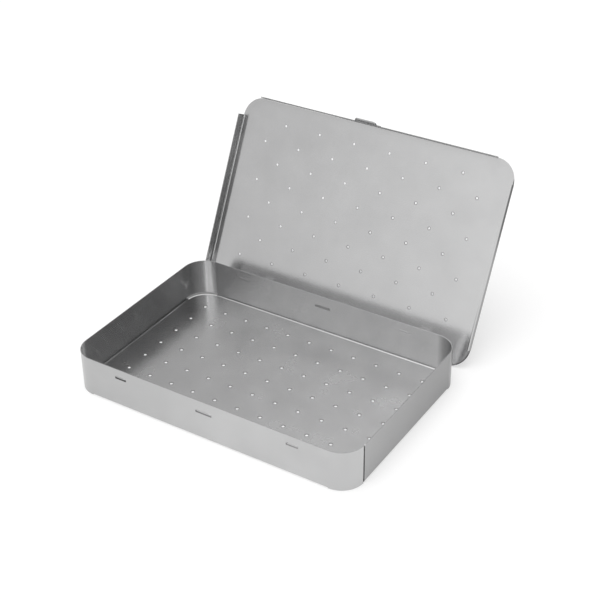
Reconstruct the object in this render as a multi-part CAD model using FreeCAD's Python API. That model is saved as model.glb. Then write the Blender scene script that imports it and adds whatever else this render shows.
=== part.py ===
import FreeCAD, Part
import math
import os

# Sterilization container: a shallow perforated sheet metal tray with a loose
# perforated lid that stands open behind it.
# Millimetres. X runs along the long side, Y towards the rear, Z up.
# The origin is the centre of the footprint that tray and open lid share.

# Sheet metal
SHEET = 0.5
HOLE_FLATS = 16

# Tray
TRAY_LENGTH = 200.0
TRAY_DEPTH = 134.0
TRAY_HEIGHT = 27.0
TRAY_CORNER_RADIUS = 15.0
TRAY_CORNER_LIFT = 0.3
TRAY_BEND_INNER_RADIUS = 1.1
FOOT_FLANGE_WIDTH = 6.0
SEAM_GAP = 1.0
SEAM_TOP_RADIUS = 1.2

# Bottom plate
BOTTOM_EDGE_GAP = 0.1
BOTTOM_CORNER_RADIUS = 14.7
BOTTOM_HOLE_DIAMETER = 2.0
BOTTOM_HOLE_PITCH = 16.65
BOTTOM_HOLE_COLUMNS = 11
BOTTOM_HOLE_ROWS = 7

# Pressed beads on the front and rear walls, slit along their lower edge
BEAD_RISE = 0.3
BEAD_TAPER = 1.3
SLIT_HEIGHT = 1.0
OUTER_BEAD_X = 61.3
OUTER_BEAD_LENGTH = 7.8
OUTER_BEAD_BELOW_RIM = 5.5
MIDDLE_BEAD_LENGTH = 11.0
MIDDLE_BEAD_BELOW_RIM = 7.2

# Lid
LID_SIDE_CLEARANCE = 0.6
LID_FLANGE_DEPTH = 7.0
LID_BEND_INNER_RADIUS = 1.0
LID_CORNER_RADIUS = 14.0
LID_CORNER_INSET = 0.65
LID_HOLE_DIAMETER = 1.4
LID_HOLE_PITCH = 26.45
LID_HOLE_LONG_ROWS = 4
LID_HOLES_IN_LONG_ROW = 7

# Open lid
LID_LEAN = 26.5
LID_TO_WALL_GAP = 1.5

# Thumb tab on the lid's front flange
TAB_SHEET = 0.5
TAB_WIDTH = 17.0
TAB_X = -4.6
TAB_LEAF_START = 2.2
TAB_BELOW_FLANGE = 1.0
TAB_BEND_INNER_RADIUS = 1.0
TAB_LIP_ANGLE = 52.0
TAB_LIP_LENGTH = 1.6
TAB_LIP_CORNER_RADIUS = 2.4
TAB_TOP_CORNER_RADIUS = 0.8
TAB_WELD_DIAMETER = 1.8
TAB_WELD_DEPTH = 0.12
TAB_WELD_SPACING = 9.0

# Sizes that follow from the ones above
X_AXIS = FreeCAD.Vector(1, 0, 0)
Y_AXIS = FreeCAD.Vector(0, 1, 0)
Z_AXIS = FreeCAD.Vector(0, 0, 1)
TRAY_HALF_LENGTH = TRAY_LENGTH / 2
TRAY_HALF_DEPTH = TRAY_DEPTH / 2
TRAY_BEND_OUTER_RADIUS = TRAY_BEND_INNER_RADIUS + SHEET
LONG_STRAIGHT = TRAY_LENGTH - 2 * TRAY_CORNER_RADIUS
SHORT_STRAIGHT = TRAY_DEPTH - 2 * TRAY_CORNER_RADIUS
LID_BEND_OUTER_RADIUS = LID_BEND_INNER_RADIUS + SHEET
LID_LENGTH = TRAY_LENGTH + 2 * (LID_SIDE_CLEARANCE + SHEET)
LID_DEPTH = TRAY_DEPTH + 2 * (LID_SIDE_CLEARANCE + SHEET)
LID_FLANGE_SETBACK = LID_CORNER_RADIUS + LID_CORNER_INSET


def arc(centre, radius, start, end):
    """Arc in the plane X = 0, angles in degrees from Y towards Z."""
    points = []
    for angle in (start, (start + end) / 2, end):
        a = math.radians(angle)
        y = centre[0] + radius * math.cos(a)
        z = centre[1] + radius * math.sin(a)
        points.append(FreeCAD.Vector(0, y, z))
    return Part.Arc(*points).toShape()


def line(first, second):
    """Line in the plane X = 0 between two (Y, Z) points."""
    return Part.makeLine(FreeCAD.Vector(0, *first), FreeCAD.Vector(0, *second))


def along_x(edges, length):
    """Extrude a closed profile of the plane X = 0, centred on X = 0."""
    face = Part.Face(Part.Wire(Part.__sortEdges__(edges)))
    face.translate(FreeCAD.Vector(-length / 2, 0, 0))
    return face.extrude(FreeCAD.Vector(length, 0, 0))


def rounded_plate(length, depth, radius, thickness, z=0.0):
    """Flat plate with rounded corners, centred on the Z axis."""
    body = Part.makeBox(length, depth, thickness, FreeCAD.Vector(-length / 2, -depth / 2, z))
    corners = [e for e in body.Edges if abs(e.tangentAt(e.FirstParameter).z) > 0.9]
    return body.makeFillet(radius, corners)


def punch(diameter, thickness):
    """Upright punch with many flats, centred on the Z axis."""
    reach = diameter / 2 / math.cos(math.pi / HOLE_FLATS)
    points = []
    for corner in range(HOLE_FLATS + 1):
        angle = 2 * math.pi * (corner % HOLE_FLATS + 0.5) / HOLE_FLATS
        points.append(FreeCAD.Vector(reach * math.cos(angle), reach * math.sin(angle), 0))
    outline = Part.Face(Part.makePolygon(points))
    return outline.extrude(FreeCAD.Vector(0, 0, 3 * thickness))


def hole_tools(points, diameter, thickness, z=0.0):
    """One punch for each hole, passing right through the sheet."""
    pattern = punch(diameter, thickness)
    tools = []
    for x, y in points:
        tool = pattern.copy()
        tool.translate(FreeCAD.Vector(x, y, z - thickness))
        tools.append(tool)
    return Part.makeCompound(tools)


def folded_edge(outer_radius, inner_radius, height, foot, length):
    """Sheet folded up 90 degrees along X.

    The upright's outer face is at Y = 0 and the foot runs towards +Y.
    """
    centre = (outer_radius, outer_radius)
    foot_end = outer_radius + foot
    edges = [
        line((0, height), (0, outer_radius)),
        arc(centre, outer_radius, 180, 270),
        line((foot_end, 0), (foot_end, SHEET)),
        arc(centre, inner_radius, 270, 180),
        line((SHEET, outer_radius), (SHEET, height)),
        line((SHEET, height), (0, height)),
    ]
    if foot > 0:
        edges.append(line((outer_radius, 0), (foot_end, 0)))
        edges.append(line((foot_end, SHEET), (outer_radius, SHEET)))
    return along_x(edges, length)


def tray_side(straight, half_across, turn):
    """One straight side of the tray's wall with its foot flange."""
    side = folded_edge(TRAY_BEND_OUTER_RADIUS, TRAY_BEND_INNER_RADIUS, TRAY_HEIGHT,
                       FOOT_FLANGE_WIDTH, straight)
    side.translate(FreeCAD.Vector(0, -half_across, 0))
    side.rotate(FreeCAD.Vector(0, 0, 0), Z_AXIS, turn)
    return side


def tray_corner(sign_x, sign_y):
    """Quarter turn of upright sheet at one corner of the tray."""
    centre = FreeCAD.Vector(sign_x * (TRAY_HALF_LENGTH - TRAY_CORNER_RADIUS),
                            sign_y * (TRAY_HALF_DEPTH - TRAY_CORNER_RADIUS), 0)
    start = {(1, 1): 0, (-1, 1): 90, (-1, -1): 180, (1, -1): 270}[(sign_x, sign_y)]
    height = TRAY_HEIGHT - TRAY_CORNER_LIFT
    outer = Part.makeCylinder(TRAY_CORNER_RADIUS, height, centre, Z_AXIS, 90)
    inner = Part.makeCylinder(TRAY_CORNER_RADIUS - SHEET, height, centre, Z_AXIS, 90)
    corner = outer.cut(inner)
    corner.rotate(centre, Z_AXIS, start)
    corner.translate(FreeCAD.Vector(0, 0, TRAY_CORNER_LIFT))
    return corner


def spindle(straight, radius, taper):
    """Round bar along X with a cone at each end, centred on the origin."""
    half = straight / 2
    bar = Part.makeCylinder(radius, straight, FreeCAD.Vector(-half, 0, 0), X_AXIS)
    for side in (-1, 1):
        cone = Part.makeCone(radius, 0, taper, FreeCAD.Vector(side * half, 0, 0), side * X_AXIS)
        bar = bar.fuse(cone)
    return bar.removeSplitter()


def press_beads(wall):
    """Press three short slit beads outwards in the front and the rear wall."""
    outer_radius = SHEET + BEAD_RISE
    outer_taper = BEAD_TAPER * outer_radius / BEAD_RISE
    beads = [
        (-OUTER_BEAD_X, OUTER_BEAD_LENGTH, OUTER_BEAD_BELOW_RIM),
        (0.0, MIDDLE_BEAD_LENGTH, MIDDLE_BEAD_BELOW_RIM),
        (OUTER_BEAD_X, OUTER_BEAD_LENGTH, OUTER_BEAD_BELOW_RIM),
    ]
    for side in (-1, 1):
        inner_face = side * (TRAY_HALF_DEPTH - SHEET)
        for x, length, below in beads:
            place = FreeCAD.Vector(x, inner_face, TRAY_HEIGHT - below)
            straight = length - 2 * BEAD_TAPER
            bump = spindle(straight, outer_radius, outer_taper)
            reach = straight + 2 * outer_taper
            half = Part.makeBox(reach, outer_radius, 2 * outer_radius,
                                FreeCAD.Vector(-reach / 2, min(0, side * outer_radius),
                                               -outer_radius))
            bump = bump.common(half)
            bump.translate(place)
            recess = spindle(straight, BEAD_RISE, BEAD_TAPER)
            recess.translate(place)
            slit = Part.makeBox(length, 4 * outer_radius, SLIT_HEIGHT,
                                FreeCAD.Vector(-length / 2, -2 * outer_radius,
                                               -BEAD_RISE - SLIT_HEIGHT))
            slit.translate(place)
            wall = wall.fuse(bump).cut(recess).cut(slit)
    return wall.removeSplitter()


def seam_room():
    """Room of the butt seam, flared at the rim round both sheet corners."""
    half = SEAM_GAP / 2
    side = half + SEAM_TOP_RADIUS
    low = -TRAY_HEIGHT / 2
    start = TRAY_HEIGHT - SEAM_TOP_RADIUS
    high = 2 * TRAY_HEIGHT
    edges = [
        line((-half, low), (half, low)),
        line((half, low), (half, start)),
        arc((side, start), SEAM_TOP_RADIUS, 180, 90),
        line((side, TRAY_HEIGHT), (side, high)),
        line((side, high), (-side, high)),
        line((-side, high), (-side, TRAY_HEIGHT)),
        arc((-side, start), SEAM_TOP_RADIUS, 90, 0),
        line((-half, start), (-half, low)),
    ]
    return along_x(edges, 2 * TRAY_CORNER_RADIUS)


def make_wall_band():
    """Upright strip bent round the tray, open at one butt seam."""
    wall = tray_side(LONG_STRAIGHT, TRAY_HALF_DEPTH, 0)
    wall = wall.fuse(tray_side(SHORT_STRAIGHT, TRAY_HALF_LENGTH, 90))
    wall = wall.fuse(tray_side(LONG_STRAIGHT, TRAY_HALF_DEPTH, 180))
    wall = wall.fuse(tray_side(SHORT_STRAIGHT, TRAY_HALF_LENGTH, 270))
    for sign_x in (-1, 1):
        for sign_y in (-1, 1):
            wall = wall.fuse(tray_corner(sign_x, sign_y))
    wall = wall.removeSplitter()
    wall = press_beads(wall)
    seam = seam_room()
    seam.translate(FreeCAD.Vector(TRAY_HALF_LENGTH, -(SHORT_STRAIGHT + SEAM_GAP) / 2, 0))
    return wall.cut(seam)


def bottom_hole_points():
    points = []
    for column in range(BOTTOM_HOLE_COLUMNS):
        for row in range(BOTTOM_HOLE_ROWS):
            x = (column - (BOTTOM_HOLE_COLUMNS - 1) / 2) * BOTTOM_HOLE_PITCH
            y = (row - (BOTTOM_HOLE_ROWS - 1) / 2) * BOTTOM_HOLE_PITCH
            points.append((x, y))
    return points


def make_bottom_plate():
    """Perforated plate that lies on the wall's foot flanges."""
    setback = TRAY_BEND_OUTER_RADIUS + BOTTOM_EDGE_GAP
    plate = rounded_plate(TRAY_LENGTH - 2 * setback, TRAY_DEPTH - 2 * setback,
                          BOTTOM_CORNER_RADIUS, SHEET, SHEET)
    return plate.cut(hole_tools(bottom_hole_points(), BOTTOM_HOLE_DIAMETER, SHEET, SHEET))


def lid_hole_points():
    """Staggered holes: long rows with short rows between and outside them."""
    points = []
    row_pitch = LID_HOLE_PITCH / 2
    rows = 2 * LID_HOLE_LONG_ROWS + 1
    for row in range(rows):
        count = LID_HOLES_IN_LONG_ROW - (1 if row % 2 == 0 else 0)
        y = (row - (rows - 1) / 2) * row_pitch
        for column in range(count):
            points.append(((column - (count - 1) / 2) * LID_HOLE_PITCH, y))
    return points


def stand_open(shape):
    """Move a piece from the lid's own frame to its place behind the tray.

    In its own frame the lid lies on its outer face with the flanges up, its
    rear edge at Y = 0. The outside of the rear fold comes to rest on Z = 0.
    """
    lean = math.radians(LID_LEAN)
    lift = LID_BEND_OUTER_RADIUS * (math.cos(lean) + math.sin(lean) - 1)
    rear_y = TRAY_HALF_DEPTH + LID_TO_WALL_GAP + LID_FLANGE_DEPTH * math.cos(lean)
    shape.rotate(FreeCAD.Vector(0, 0, 0), X_AXIS, 90 - LID_LEAN)
    shape.translate(FreeCAD.Vector(0, rear_y, -lift))
    return shape


def lid_edge(straight, half_across, turn):
    """One straight flange of the lid, about the lid's centre."""
    edge = folded_edge(LID_BEND_OUTER_RADIUS, LID_BEND_INNER_RADIUS, LID_FLANGE_DEPTH,
                       0, straight)
    edge.translate(FreeCAD.Vector(0, -half_across, 0))
    edge.rotate(FreeCAD.Vector(0, 0, 0), Z_AXIS, turn)
    return edge


def lid_edge_room(straight, half_across, turn):
    """Room that one fold takes out of the flat plate."""
    room = Part.makeBox(straight, LID_BEND_OUTER_RADIUS, SHEET,
                        FreeCAD.Vector(-straight / 2, -half_across, 0))
    room.rotate(FreeCAD.Vector(0, 0, 0), Z_AXIS, turn)
    return room


def make_lid():
    """Perforated plate with a flange folded up along each straight edge."""
    lid = rounded_plate(LID_LENGTH - 2 * LID_CORNER_INSET, LID_DEPTH - 2 * LID_CORNER_INSET,
                        LID_CORNER_RADIUS, SHEET)
    long_straight = LID_LENGTH - 2 * LID_FLANGE_SETBACK
    short_straight = LID_DEPTH - 2 * LID_FLANGE_SETBACK
    for turn in (0, 90, 180, 270):
        along_long_side = turn in (0, 180)
        straight = long_straight if along_long_side else short_straight
        half_across = (LID_DEPTH if along_long_side else LID_LENGTH) / 2
        lid = lid.cut(lid_edge_room(straight, half_across, turn))
        lid = lid.fuse(lid_edge(straight, half_across, turn))
    lid = lid.removeSplitter()
    lid = lid.cut(hole_tools(lid_hole_points(), LID_HOLE_DIAMETER, SHEET))
    lid.translate(FreeCAD.Vector(0, LID_DEPTH / 2, 0))
    return stand_open(lid)


def tab_outline(end_z, reach):
    """Block that gives the tab its rounded corners, seen along Y."""
    half = TAB_WIDTH / 2
    top = TAB_TOP_CORNER_RADIUS
    low = TAB_LIP_CORNER_RADIUS
    outline = Part.makeBox(TAB_WIDTH, 2 * reach, end_z - TAB_LEAF_START,
                           FreeCAD.Vector(-half, -reach, TAB_LEAF_START))
    for z, radius in ((TAB_LEAF_START, top), (end_z, low)):
        corners = [e for e in outline.Edges
                   if abs(e.CenterOfMass.z - z) < 0.01
                   and abs(abs(e.CenterOfMass.x) - half) < 0.01
                   and abs(e.tangentAt(e.FirstParameter).y) > 0.9]
        outline = outline.makeFillet(radius, corners)
    return outline


def make_thumb_tab():
    """Small strip on the front flange whose lower end flares outwards."""
    lip = math.radians(TAB_LIP_ANGLE)
    outer_radius = TAB_BEND_INNER_RADIUS + TAB_SHEET
    turn_z = LID_FLANGE_DEPTH + TAB_BELOW_FLANGE
    centre = (outer_radius, turn_z)
    inner_start = (TAB_SHEET, turn_z)
    outer_start = (0, turn_z)

    def on_bend(radius):
        return (centre[0] - radius * math.cos(lip), centre[1] + radius * math.sin(lip))

    def along_lip(point):
        return (point[0] + TAB_LIP_LENGTH * math.sin(lip),
                point[1] + TAB_LIP_LENGTH * math.cos(lip))

    inner_end = on_bend(TAB_BEND_INNER_RADIUS)
    outer_end = on_bend(outer_radius)
    edges = [
        line((0, TAB_LEAF_START), outer_start),
        arc(centre, outer_radius, 180, 180 - TAB_LIP_ANGLE),
        line(outer_end, along_lip(outer_end)),
        line(along_lip(outer_end), along_lip(inner_end)),
        line(along_lip(inner_end), inner_end),
        arc(centre, TAB_BEND_INNER_RADIUS, 180 - TAB_LIP_ANGLE, 180),
        line(inner_start, (TAB_SHEET, TAB_LEAF_START)),
        line((TAB_SHEET, TAB_LEAF_START), (0, TAB_LEAF_START)),
    ]
    tab = along_x(edges, TAB_WIDTH)
    tab = tab.common(tab_outline(along_lip(inner_end)[1], 2 * outer_radius + TAB_LIP_LENGTH))
    weld_z = (TAB_LEAF_START + LID_FLANGE_DEPTH) / 2
    for x in (-TAB_WELD_SPACING / 2, TAB_WELD_SPACING / 2):
        mark = Part.makeCylinder(TAB_WELD_DIAMETER / 2, TAB_WELD_DEPTH,
                                 FreeCAD.Vector(x, TAB_SHEET - TAB_WELD_DEPTH, weld_z), Y_AXIS)
        tab = tab.cut(mark)
    tab.translate(FreeCAD.Vector(TAB_X, LID_DEPTH, 0))
    return stand_open(tab)


def centre_on_footprint(shapes):
    """Move all pieces so that the shared footprint is centred on the origin."""
    box = Part.makeCompound(shapes).BoundBox
    for shape in shapes:
        shape.translate(FreeCAD.Vector(0, -box.Center.y, 0))
    return box.Center.y


def main():
    os.makedirs("parts", exist_ok=True)
    pieces = {
        "wall_band": make_wall_band(),
        "bottom_plate": make_bottom_plate(),
        "lid": make_lid(),
        "thumb_tab": make_thumb_tab(),
    }
    tray_centre_y = centre_on_footprint(list(pieces.values()))
    print("tray centre at Y", round(-tray_centre_y, 4))
    for name, shape in pieces.items():
        if len(shape.Solids) == 1:
            shape = shape.Solids[0]
        shape.exportStep("parts/" + name + ".step")
        box = shape.BoundBox
        limits = (box.XMin, box.YMin, box.ZMin, box.XMax, box.YMax, box.ZMax)
        print(name, "solids", len(shape.Solids), "valid", shape.isValid(),
              "volume", round(shape.Volume, 2), "box", [round(v, 3) for v in limits])


main()
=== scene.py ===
import math

import bpy
from mathutils import Matrix, Vector

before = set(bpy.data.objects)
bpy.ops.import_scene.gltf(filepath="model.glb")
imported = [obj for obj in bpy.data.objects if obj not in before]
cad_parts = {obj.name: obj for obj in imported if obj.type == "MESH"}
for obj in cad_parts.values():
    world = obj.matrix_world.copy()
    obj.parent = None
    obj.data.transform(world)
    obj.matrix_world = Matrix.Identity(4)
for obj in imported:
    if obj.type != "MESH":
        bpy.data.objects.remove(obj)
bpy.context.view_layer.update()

# Lengths are in metres and angles in degrees. A ramp is four numbers: where it
# starts, where it ends, and its value at the start and at the end.

# Camera that matches the photograph
CAMERA_PLACE = (0.388807, -0.602300, 0.500604)
CAMERA_AZIMUTH = 32.610
CAMERA_ELEVATION = 32.574
CAMERA_ROLL = -0.754
CAMERA_LENS = 81.33
SENSOR_WIDTH = 36.0
CLIP_START = 0.01
CLIP_END = 50.0

# Tray, about its own centre
TRAY_CENTRE_Y = -0.0339733
TRAY_HALF_LENGTH = 0.100
TRAY_HALF_DEPTH = 0.067
TRAY_CORNER_RADIUS = 0.015
SHEET = 0.0005
SEAM_Y = -0.0525
SEAM_HALF_GAP = 0.0005
SLIT_HALF_HEIGHT = 0.0005

# Slits under the beads: X, side (-1 front, 1 rear), height, half length, painted shade in the
# slit
SLITS = [
    (-0.0613, -1, 0.0207, 0.0039, 0.90),
    (0.0, -1, 0.0190, 0.0055, 0.55),
    (0.0613, -1, 0.0207, 0.0039, 0.35),
    (-0.0613, 1, 0.0207, 0.0039, 0.35),
    (0.0, 1, 0.0190, 0.0055, 0.55),
    (0.0613, 1, 0.0207, 0.0039, 0.0),
]
SLIT_END_SOFT = 0.0005
SLIT_EDGE_SOFT = 0.0006
SLIT_REACH = 0.0015
SLIT_REACH_SOFT = 0.0005

# Painted shade along the butt seam in the right wall
SEAM_SPREAD = 0.0001
SEAM_SOFT = 0.00025
SEAM_SIDE = (0.09, 0.095, 0.0, 1.0)
SEAM_FADE = (0.012, 0.026, 0.92, 0.55)

# Shades on the sides of the wall band
OUTER_FACE = (0.0146, 0.0149, 0.0, 1.0)
RIGHT_SIDE = (0.092, 0.098, 0.0, 1.0)
RIGHT_START = (SEAM_Y - 0.0004, SEAM_Y + 0.0004, 0.0, 1.0)
RIGHT_SHADE = (-0.085, 0.020, 0.30, 0.50)
FRONT_SIDE = (-0.055, -0.050, 1.0, 0.0)
FRONT_SHADE = (-0.090, 0.020, 0.12, 0.0)
INNER_LEFT_SHADE = (-0.098, -0.092, 0.15, 0.0)

# Painted shade along the fold between the walls and the foot flanges
FOLD_HEIGHT = 0.0010
FOLD_HALF_HEIGHT = 0.0003
FOLD_SOFT = 0.0002
FOLD_SHADE = (0.005, 0.020, 0.0, 0.15)
FOLD_CORNER_GAIN = (-0.088, -0.084, 2.0, 0.0)

# Open lid: its lean, the line of its rear edge and its size
LID_LEAN = 26.5
LID_REAR_Y = 0.0407912
LID_REAR_Z = -0.0005117
LID_HALF_LENGTH = 0.1011
LID_HALF_DEPTH = 0.0681
LID_FLANGE = 0.007
LID_CORNER_SETBACK = 0.01465

# Painted shade on the lid, and a painted lighter stripe on its left flange, along X, up the lid
# or out along its flanges
FREE_EDGE_OUT = (LID_FLANGE - 0.00006, LID_FLANGE - 0.00002, 0.0, 0.5)
FREE_EDGE_X = (0.098, 0.100, 1.0, 0.0)
FREE_EDGE_UP = (0.020, 0.045, 1.0, 0.0)
RIGHT_FLANGE_X = (0.0998, 0.1002, 0.0, 1.0)
RIGHT_FLANGE_OUT = (0.0040, 0.0055, 1.0, 0.0)
RIGHT_FLANGE_UP = (0.070, 0.095, 0.50, 0.95)
LEFT_FLANGE_X = (-0.1006, -0.1003, -0.45, 0.0)
LEFT_FLANGE_OUT = (0.0010, 0.0018, 0.0, 1.0)
TOP_FLANGE_UP = (0.1358, 0.1361, 0.0, 0.40)
TOP_FLANGE_MIRROR_SHADE = (0.1358, 0.1361, 1.0, 0.25)
LOW_CORNER_RIM = (0.0131, 0.0134, 0.0, 0.65)
LOW_CORNER_UP = (0.010, 0.0135, 1.0, 0.0)

# Hole patterns: pitch, radius, and the first and last hole counted from the middle
BOTTOM_PITCH = 0.01665
BOTTOM_HOLE_RADIUS = 0.0010
BOTTOM_COLUMNS = (-5, 5)
BOTTOM_ROWS = (-3, 3)
LID_PITCH = 0.02645
LID_HOLE_RADIUS = 0.0007
LID_LONG_COLUMNS = (-3, 3)
LID_LONG_ROWS = (-2, 1)
LID_SHORT_COLUMNS = (-3, 2)
LID_SHORT_ROWS = (-2, 2)

# Darker rings round the holes, painted shade on the lid: width, and how dark they are
HOLE_RING_WIDTH = 0.0008
BOTTOM_HOLE_RING = 0.42
LID_HOLE_SHADE_SLOPE = -1.2
LID_HOLE_SHADE = (-0.130, -0.070, 0.06, 0.50)

# Steel: noises (scale, detail, roughness), spreads, tint and grain
GRAIN_NOISE = (1.0, 4.0, 0.6)
CLOUD_NOISE = (38.0, 4.0, 0.55)
GRAIN_SHARE = 0.15
NOISE_LOW = 0.3
NOISE_HIGH = 0.7
TONE_SPREAD = 0.05
ROUGHNESS_SPREAD = 0.02
STEEL_TINT = (1.0, 1.0, 1.004)
BUMP_STRENGTH = 0.02
BUMP_DISTANCE = 0.00005
ANISOTROPY = 0.75

# Scale of the grain on each axis, and direction in which reflections smear
ALONG_X = (60.0, 2600.0, 2600.0)
ALONG_STRIP = (60.0, 60.0, 2600.0)
UP = (0.0, 0.0, 1.0)
REARWARD = (0.0, 1.0, 0.0)
UP_THE_LID = (0.0, math.sin(math.radians(LID_LEAN)), math.cos(math.radians(LID_LEAN)))

# Soft light all round: elevation, azimuth from +X towards +Y, strength, sharpness
LIGHT_PATCHES = [
    (12.0, 0.0, 0.30, 16),
    (12.0, 30.0, 0.72, 16),
    (12.0, 60.0, 1.58, 16),
    (12.0, 90.0, 0.57, 16),
    (12.0, 120.0, 0.53, 16),
    (12.0, 150.0, 0.10, 16),
    (12.0, 180.0, 0.46, 16),
    (12.0, 240.0, 0.72, 16),
    (12.0, 270.0, 1.19, 16),
    (38.0, 105.0, 0.52, 16),
    (38.0, 135.0, 0.11, 16),
    (38.0, 165.0, 0.29, 16),
    (38.0, 255.0, 0.61, 16),
    (38.0, 285.0, 0.55, 16),
    (34.0, 335.0, 0.50, 16),
    (34.0, 205.0, 0.50, 16),
    (64.0, 120.0, 0.94, 16),
    (64.0, 240.0, 2.22, 16),
    (64.0, 300.0, 2.32, 16),
    (90.0, 0.0, 2.54, 16),
    (33.0, 292.0, 5.00, 400),
]

# Floor: share that the light paints, share that is always there, and a larger
# share, painted light, on the patch under the tray that is seen through its holes
FLOOR_SIZE = 30.0
FLOOR_TONE = 0.50
FLOOR_ROUGHNESS = 0.9
FLOOR_LIFT = 0.47
UNDER_TRAY_PAINTED_LIGHT = 0.72
UNDER_TRAY_HALF_LENGTH = 0.090
UNDER_TRAY_HALF_DEPTH = 0.056
UNDER_TRAY_SOFT = 0.002


# Node helpers
def new_material(name):
    """Empty material with one shader; gives material, node tree and shader."""
    material = bpy.data.materials.new(name)
    material.use_nodes = True
    tree = material.node_tree
    tree.nodes.clear()
    out = tree.nodes.new("ShaderNodeOutputMaterial")
    shader = tree.nodes.new("ShaderNodeBsdfPrincipled")
    tree.links.new(shader.outputs["BSDF"], out.inputs["Surface"])
    return material, tree, shader


def calc(tree, operation, *values):
    """Math node whose inputs are numbers or other nodes' outputs."""
    node = tree.nodes.new("ShaderNodeMath")
    node.operation = operation
    for socket, value in zip(node.inputs, values):
        if isinstance(value, (int, float)):
            socket.default_value = value
        else:
            tree.links.new(value, socket)
    return node.outputs[0]


def product(tree, first, *others):
    """All values multiplied together."""
    for other in others:
        first = calc(tree, "MULTIPLY", first, other)
    return first


def greatest(tree, first, *others):
    """The largest of all values."""
    for other in others:
        first = calc(tree, "MAXIMUM", first, other)
    return first


def object_place(tree):
    """Object coordinates, in metres."""
    coord = tree.nodes.new("ShaderNodeTexCoord")
    return coord.outputs["Object"]


def split(tree, vector):
    """The X, Y and Z of a vector."""
    node = tree.nodes.new("ShaderNodeSeparateXYZ")
    tree.links.new(vector, node.inputs[0])
    return node.outputs


def stretched(tree, scale):
    """Object coordinates multiplied by one factor for each axis."""
    mapping = tree.nodes.new("ShaderNodeMapping")
    mapping.inputs["Scale"].default_value = scale
    tree.links.new(object_place(tree), mapping.inputs["Vector"])
    return mapping.outputs["Vector"]


def noise(tree, vector, scale, detail, rough):
    """Noise between 0 and 1."""
    node = tree.nodes.new("ShaderNodeTexNoise")
    node.inputs["Scale"].default_value = scale
    node.inputs["Detail"].default_value = detail
    node.inputs["Roughness"].default_value = rough
    tree.links.new(vector, node.inputs["Vector"])
    return node.outputs["Fac"]


def remap(tree, value, start, end, low, high, smooth=False):
    """Value carried from start..end to low..high and held beyond the ends."""
    node = tree.nodes.new("ShaderNodeMapRange")
    if smooth:
        node.interpolation_type = "SMOOTHSTEP"
    node.inputs["From Min"].default_value = start
    node.inputs["From Max"].default_value = end
    node.inputs["To Min"].default_value = low
    node.inputs["To Max"].default_value = high
    tree.links.new(value, node.inputs["Value"])
    return node.outputs["Result"]


def beyond(tree, value, start):
    """How far a value lies beyond a start, never below zero."""
    return calc(tree, "MAXIMUM", calc(tree, "SUBTRACT", value, start), 0.0)


def apart(tree, first, second):
    """Length of the diagonal of two distances."""
    squares = calc(tree, "MULTIPLY_ADD", first, first, calc(tree, "MULTIPLY", second, second))
    return calc(tree, "SQRT", squares)


def near(tree, value, centre, half, soft):
    """One inside centre +- half, zero beyond a soft margin."""
    away = calc(tree, "ABSOLUTE", calc(tree, "SUBTRACT", value, centre))
    return remap(tree, away, half, half + soft, 1.0, 0.0, smooth=True)


# Painted shade on the wall band. Every mark says how much darker the steel is painted.
def slit_painted_shade(tree, x, y, z):
    """Painted shade in and round the slits, on their sheared edges."""
    dark = None
    for slit_x, side, height, half_length, depth in SLITS:
        wall_y = TRAY_CENTRE_Y + side * (TRAY_HALF_DEPTH - SHEET / 2)
        mark = product(tree,
                       near(tree, x, slit_x, half_length, SLIT_END_SOFT),
                       near(tree, z, height, SLIT_HALF_HEIGHT, SLIT_EDGE_SOFT),
                       near(tree, y, wall_y, SLIT_REACH, SLIT_REACH_SOFT),
                       depth)
        dark = mark if dark is None else calc(tree, "MAXIMUM", dark, mark)
    return dark


def seam_painted_shade(tree, x, y, z):
    """Painted shade along the gap of the butt seam, weaker towards the rim."""
    line = near(tree, y, TRAY_CENTRE_Y + SEAM_Y, SEAM_HALF_GAP + SEAM_SPREAD, SEAM_SOFT)
    return product(tree, line, remap(tree, x, *SEAM_SIDE), remap(tree, z, *SEAM_FADE))


def side_shades(tree, x, y):
    """Right and front faces on the outside, left face on the inside."""
    depth_place = calc(tree, "SUBTRACT", y, TRAY_CENTRE_Y)
    outer = apart(tree,
                  beyond(tree, calc(tree, "ABSOLUTE", x),
                         TRAY_HALF_LENGTH - TRAY_CORNER_RADIUS),
                  beyond(tree, calc(tree, "ABSOLUTE", depth_place),
                         TRAY_HALF_DEPTH - TRAY_CORNER_RADIUS))
    outer = remap(tree, outer, *OUTER_FACE)
    right = product(tree, remap(tree, x, *RIGHT_SIDE, smooth=True),
                    remap(tree, depth_place, *RIGHT_START),
                    remap(tree, y, *RIGHT_SHADE))
    front = product(tree, remap(tree, depth_place, *FRONT_SIDE),
                    remap(tree, x, *FRONT_SHADE))
    left = product(tree, calc(tree, "SUBTRACT", 1.0, outer),
                   remap(tree, x, *INNER_LEFT_SHADE))
    outside = product(tree, outer, calc(tree, "MAXIMUM", right, front))
    return calc(tree, "MAXIMUM", outside, left)


def fold_painted_shade(tree, x, y, z):
    """Painted shade along the fold at the foot of the rear wall, stronger in the left corner."""
    fold = product(tree, near(tree, z, FOLD_HEIGHT, FOLD_HALF_HEIGHT, FOLD_SOFT),
                   remap(tree, y, *FOLD_SHADE))
    return calc(tree, "MULTIPLY_ADD", fold, remap(tree, x, *FOLD_CORNER_GAIN), fold)


def wall_painted_shade(tree):
    """All painted shade of the wall band."""
    x, y, z = split(tree, object_place(tree))
    return greatest(tree, slit_painted_shade(tree, x, y, z), seam_painted_shade(tree, x, y, z),
                    side_shades(tree, x, y), fold_painted_shade(tree, x, y, z))


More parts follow.
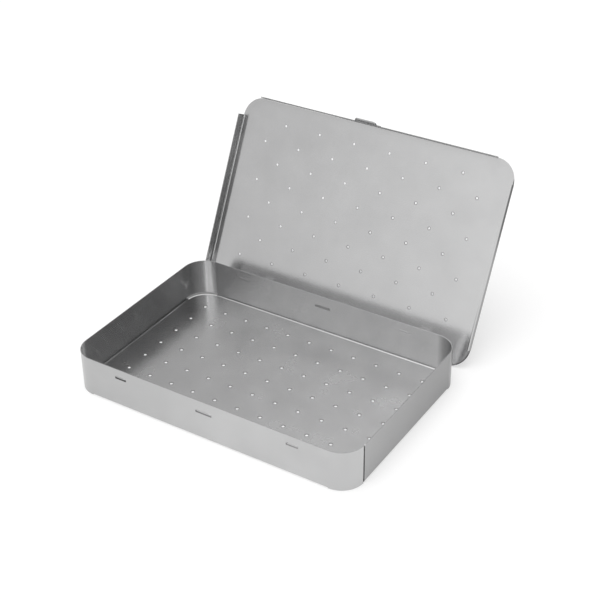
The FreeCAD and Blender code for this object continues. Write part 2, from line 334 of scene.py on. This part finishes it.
# Painted shade and light on the lid
def lid_place(tree):
    """Place on the lid: across, up from its rear edge, out along the flanges."""
    x, y, z = split(tree, object_place(tree))
    y = calc(tree, "SUBTRACT", y, LID_REAR_Y)
    z = calc(tree, "SUBTRACT", z, LID_REAR_Z)
    lean = math.radians(LID_LEAN)
    up = calc(tree, "MULTIPLY_ADD", z, math.cos(lean),
              calc(tree, "MULTIPLY", y, math.sin(lean)))
    out = calc(tree, "MULTIPLY_ADD", z, math.sin(lean),
               calc(tree, "MULTIPLY", y, -math.cos(lean)))
    return x, up, out


def lid_painted_shade_and_light(tree):
    """Painted shade on the free edges, the right and top flange and the lower right corner.

    The left flange's value is below zero, so it gets a painted highlight, lighter than the rest.
    """
    x, up, out = lid_place(tree)
    edge = product(tree, remap(tree, out, *FREE_EDGE_OUT),
                   calc(tree, "MAXIMUM", remap(tree, x, *FREE_EDGE_X),
                        remap(tree, up, *FREE_EDGE_UP)))
    right = product(tree, remap(tree, x, *RIGHT_FLANGE_X),
                    remap(tree, out, *RIGHT_FLANGE_OUT),
                    remap(tree, up, *RIGHT_FLANGE_UP))
    top = remap(tree, up, *TOP_FLANGE_UP)
    below = calc(tree, "MAXIMUM", calc(tree, "SUBTRACT", LID_CORNER_SETBACK, up), 0.0)
    corner = apart(tree, beyond(tree, x, LID_HALF_LENGTH - LID_CORNER_SETBACK), below)
    corner = product(tree, remap(tree, corner, *LOW_CORNER_RIM),
                     remap(tree, up, *LOW_CORNER_UP))
    left = product(tree, remap(tree, x, *LEFT_FLANGE_X), remap(tree, out, *LEFT_FLANGE_OUT))
    return calc(tree, "ADD", greatest(tree, edge, right, top, corner), left)


def lid_top_flange_mirror_shade(tree):
    """Painted shade on the top flange: how much it still mirrors at a glancing angle."""
    _, up, _ = lid_place(tree)
    return remap(tree, up, *TOP_FLANGE_MIRROR_SHADE)


# Darker rings round the holes; on the lid they are painted shade, darker towards the right and
# bottom
def to_hole(tree, value, pitch, numbers, shift=0.0):
    """Distance along one axis from the nearest hole of a row."""
    first, last = numbers
    steps = calc(tree, "ROUND", calc(tree, "DIVIDE", calc(tree, "SUBTRACT", value, shift), pitch))
    steps = calc(tree, "MINIMUM", calc(tree, "MAXIMUM", steps, first), last)
    nearest = calc(tree, "MULTIPLY_ADD", steps, pitch, shift)
    return calc(tree, "SUBTRACT", value, nearest)


def bottom_holes(tree):
    """Distance from the bottom plate's nearest hole, and how dark the ring round it is."""
    x, y, _ = split(tree, object_place(tree))
    distance = apart(tree, to_hole(tree, x, BOTTOM_PITCH, BOTTOM_COLUMNS),
                     to_hole(tree, y, BOTTOM_PITCH, BOTTOM_ROWS, TRAY_CENTRE_Y))
    return distance, BOTTOM_HOLE_RING


def lid_holes(tree):
    """Distance from the lid's nearest hole, and how dark the painted shade round it is, darker
    towards the right and bottom.
    """
    x, up, _ = lid_place(tree)
    half = LID_PITCH / 2
    long_rows = apart(tree, to_hole(tree, x, LID_PITCH, LID_LONG_COLUMNS),
                      to_hole(tree, up, LID_PITCH, LID_LONG_ROWS, LID_HALF_DEPTH + half))
    short_rows = apart(tree, to_hole(tree, x, LID_PITCH, LID_SHORT_COLUMNS, half),
                       to_hole(tree, up, LID_PITCH, LID_SHORT_ROWS, LID_HALF_DEPTH))
    slope = calc(tree, "MULTIPLY_ADD", up, LID_HOLE_SHADE_SLOPE, x)
    return calc(tree, "MINIMUM", long_rows, short_rows), remap(tree, slope, *LID_HOLE_SHADE)


# Steel
def steel(name, tone, roughness, grain_scale, smear, painted_light=None, holes=None, radius=0.0,
          glance=None):
    """Satin stainless steel with fine grain; reflections smear across the grain."""
    material, tree, shader = new_material(name)
    grain = noise(tree, stretched(tree, grain_scale), *GRAIN_NOISE)
    cloud = noise(tree, object_place(tree), *CLOUD_NOISE)
    mixed = calc(tree, "MULTIPLY_ADD", grain, GRAIN_SHARE,
                 calc(tree, "MULTIPLY", cloud, 1.0 - GRAIN_SHARE))
    level = remap(tree, mixed, NOISE_LOW, NOISE_HIGH, 1.0 - TONE_SPREAD, 1.0 + TONE_SPREAD)
    level = calc(tree, "MULTIPLY", level, tone)
    # Painted shade, and on the lid one painted lighter stripe, scale the base colour.
    if painted_light:
        level = calc(tree, "MULTIPLY", level, calc(tree, "SUBTRACT", 1.0, painted_light(tree)))
    if holes:
        distance, depth = holes(tree)
        # Darker ring round each hole; painted shade on the lid.
        rim = remap(tree, distance, radius, radius + HOLE_RING_WIDTH, 1.0, 0.0, smooth=True)
        level = calc(tree, "MULTIPLY", level,
                     calc(tree, "SUBTRACT", 1.0, calc(tree, "MULTIPLY", rim, depth)))
    colour = tree.nodes.new("ShaderNodeCombineColor")
    for socket, share in zip(colour.inputs, STEEL_TINT):
        tree.links.new(calc(tree, "MULTIPLY", level, share), socket)
    tree.links.new(colour.outputs[0], shader.inputs["Base Color"])
    # Painted shade: the top flange's mirror tint is cut down.
    if glance:
        mirror_shade_tint = tree.nodes.new("ShaderNodeCombineColor")
        share = glance(tree)
        for socket in mirror_shade_tint.inputs:
            tree.links.new(share, socket)
        tree.links.new(mirror_shade_tint.outputs[0], shader.inputs["Specular Tint"])
    shine = remap(tree, cloud, NOISE_LOW, NOISE_HIGH,
                  roughness - ROUGHNESS_SPREAD, roughness + ROUGHNESS_SPREAD)
    tree.links.new(shine, shader.inputs["Roughness"])
    shader.inputs["Metallic"].default_value = 1.0
    shader.inputs["Anisotropic"].default_value = ANISOTROPY
    turn = tree.nodes.new("ShaderNodeVectorTransform")
    turn.vector_type = "VECTOR"
    turn.convert_from = "OBJECT"
    turn.convert_to = "WORLD"
    turn.inputs[0].default_value = smear
    tree.links.new(turn.outputs[0], shader.inputs["Tangent"])

    bump = tree.nodes.new("ShaderNodeBump")
    bump.inputs["Strength"].default_value = BUMP_STRENGTH
    bump.inputs["Distance"].default_value = BUMP_DISTANCE
    tree.links.new(grain, bump.inputs["Height"])
    tree.links.new(bump.outputs["Normal"], shader.inputs["Normal"])
    return material


def dress_nodes():
    """Give each CAD piece its steel."""
    materials = {
        "wall_band": steel("wall_steel", 0.53, 0.24, ALONG_STRIP, UP, wall_painted_shade),
        "bottom_plate": steel("bottom_steel", 0.53, 0.26, ALONG_X, REARWARD, None,
                              bottom_holes, BOTTOM_HOLE_RADIUS),
        "lid": steel("lid_steel", 0.52, 0.20, ALONG_X, UP_THE_LID, lid_painted_shade_and_light,
                     lid_holes, LID_HOLE_RADIUS, lid_top_flange_mirror_shade),
        "thumb_tab": steel("tab_steel", 0.45, 0.26, ALONG_X, UP_THE_LID),
    }
    for name, material in materials.items():
        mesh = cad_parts[name].data
        mesh.materials.clear()
        mesh.materials.append(material)


# Stage
def make_floor():
    """Pale floor that keeps some white of its own where it is seen or mirrored, with painted
    light on the patch under the tray.
    """
    bpy.ops.mesh.primitive_plane_add(size=FLOOR_SIZE, location=(0.0, 0.0, 0.0))
    floor = bpy.context.object
    floor.name = "floor"
    material, tree, shader = new_material("floor_white")
    shader.inputs["Base Color"].default_value = (FLOOR_TONE, FLOOR_TONE, FLOOR_TONE, 1.0)
    shader.inputs["Roughness"].default_value = FLOOR_ROUGHNESS
    shader.inputs["Specular IOR Level"].default_value = 0.0
    path = tree.nodes.new("ShaderNodeLightPath")
    seen = greatest(tree, path.outputs["Is Camera Ray"], path.outputs["Is Glossy Ray"],
                    path.outputs["Is Transmission Ray"])
    shader.inputs["Emission Color"].default_value = (1.0, 1.0, 1.0, 1.0)
    x, y, _ = split(tree, object_place(tree))
    # Painted light: the patch under the tray is brighter for the camera, seen through the holes.
    under = product(tree, near(tree, x, 0.0, UNDER_TRAY_HALF_LENGTH, UNDER_TRAY_SOFT),
                    near(tree, y, TRAY_CENTRE_Y, UNDER_TRAY_HALF_DEPTH, UNDER_TRAY_SOFT),
                    path.outputs["Is Camera Ray"])
    lift = calc(tree, "MULTIPLY_ADD", under, UNDER_TRAY_PAINTED_LIGHT - FLOOR_LIFT, FLOOR_LIFT)
    tree.links.new(calc(tree, "MULTIPLY", seen, lift), shader.inputs["Emission Strength"])
    floor.data.materials.append(material)


def make_world():
    """Soft light from the patches; the camera itself sees plain white."""
    world = bpy.data.worlds.new("studio")
    bpy.context.scene.world = world
    world.use_nodes = True
    tree = world.node_tree
    tree.nodes.clear()
    out = tree.nodes.new("ShaderNodeOutputWorld")
    background = tree.nodes.new("ShaderNodeBackground")
    coord = tree.nodes.new("ShaderNodeTexCoord")
    total = None
    for elevation, azimuth, strength, sharpness in LIGHT_PATCHES:
        e = math.radians(elevation)
        a = math.radians(azimuth)
        towards = (math.cos(a) * math.cos(e), math.sin(a) * math.cos(e), math.sin(e))
        dot = tree.nodes.new("ShaderNodeVectorMath")
        dot.operation = "DOT_PRODUCT"
        dot.inputs[1].default_value = towards
        tree.links.new(coord.outputs["Generated"], dot.inputs[0])
        patch = calc(tree, "MAXIMUM", dot.outputs["Value"], 0.0)
        patch = calc(tree, "MULTIPLY", calc(tree, "POWER", patch, sharpness), strength)
        total = patch if total is None else calc(tree, "ADD", total, patch)
    path = tree.nodes.new("ShaderNodeLightPath")
    straight = path.outputs["Is Camera Ray"]
    total = calc(tree, "MULTIPLY_ADD", total, calc(tree, "SUBTRACT", 1.0, straight), straight)
    tree.links.new(total, background.inputs["Strength"])
    background.inputs["Color"].default_value = (1.0, 1.0, 1.0, 1.0)
    tree.links.new(background.outputs[0], out.inputs["Surface"])


def make_camera():
    """Camera at the photograph's place, turned by azimuth, elevation and roll."""
    data = bpy.data.cameras.new("camera")
    data.sensor_width = SENSOR_WIDTH
    data.sensor_fit = "HORIZONTAL"
    data.lens = CAMERA_LENS
    data.clip_start = CLIP_START
    data.clip_end = CLIP_END
    camera = bpy.data.objects.new("camera", data)
    bpy.context.scene.collection.objects.link(camera)
    azimuth = math.radians(CAMERA_AZIMUTH)
    elevation = math.radians(CAMERA_ELEVATION)
    back = Vector((math.sin(azimuth) * math.cos(elevation),
                   -math.cos(azimuth) * math.cos(elevation),
                   math.sin(elevation)))
    right = (-back).cross(Vector((0.0, 0.0, 1.0))).normalized()
    up = right.cross(-back)
    roll = math.radians(CAMERA_ROLL)
    right_rolled = right * math.cos(roll) + up * math.sin(roll)
    up_rolled = up * math.cos(roll) - right * math.sin(roll)
    matrix = Matrix((right_rolled, up_rolled, back)).transposed().to_4x4()
    matrix.translation = Vector(CAMERA_PLACE)
    camera.matrix_world = matrix
    bpy.context.scene.camera = camera


dress_nodes()
make_floor()
make_world()
make_camera()

view = bpy.context.scene.view_settings
view.view_transform = "Standard"
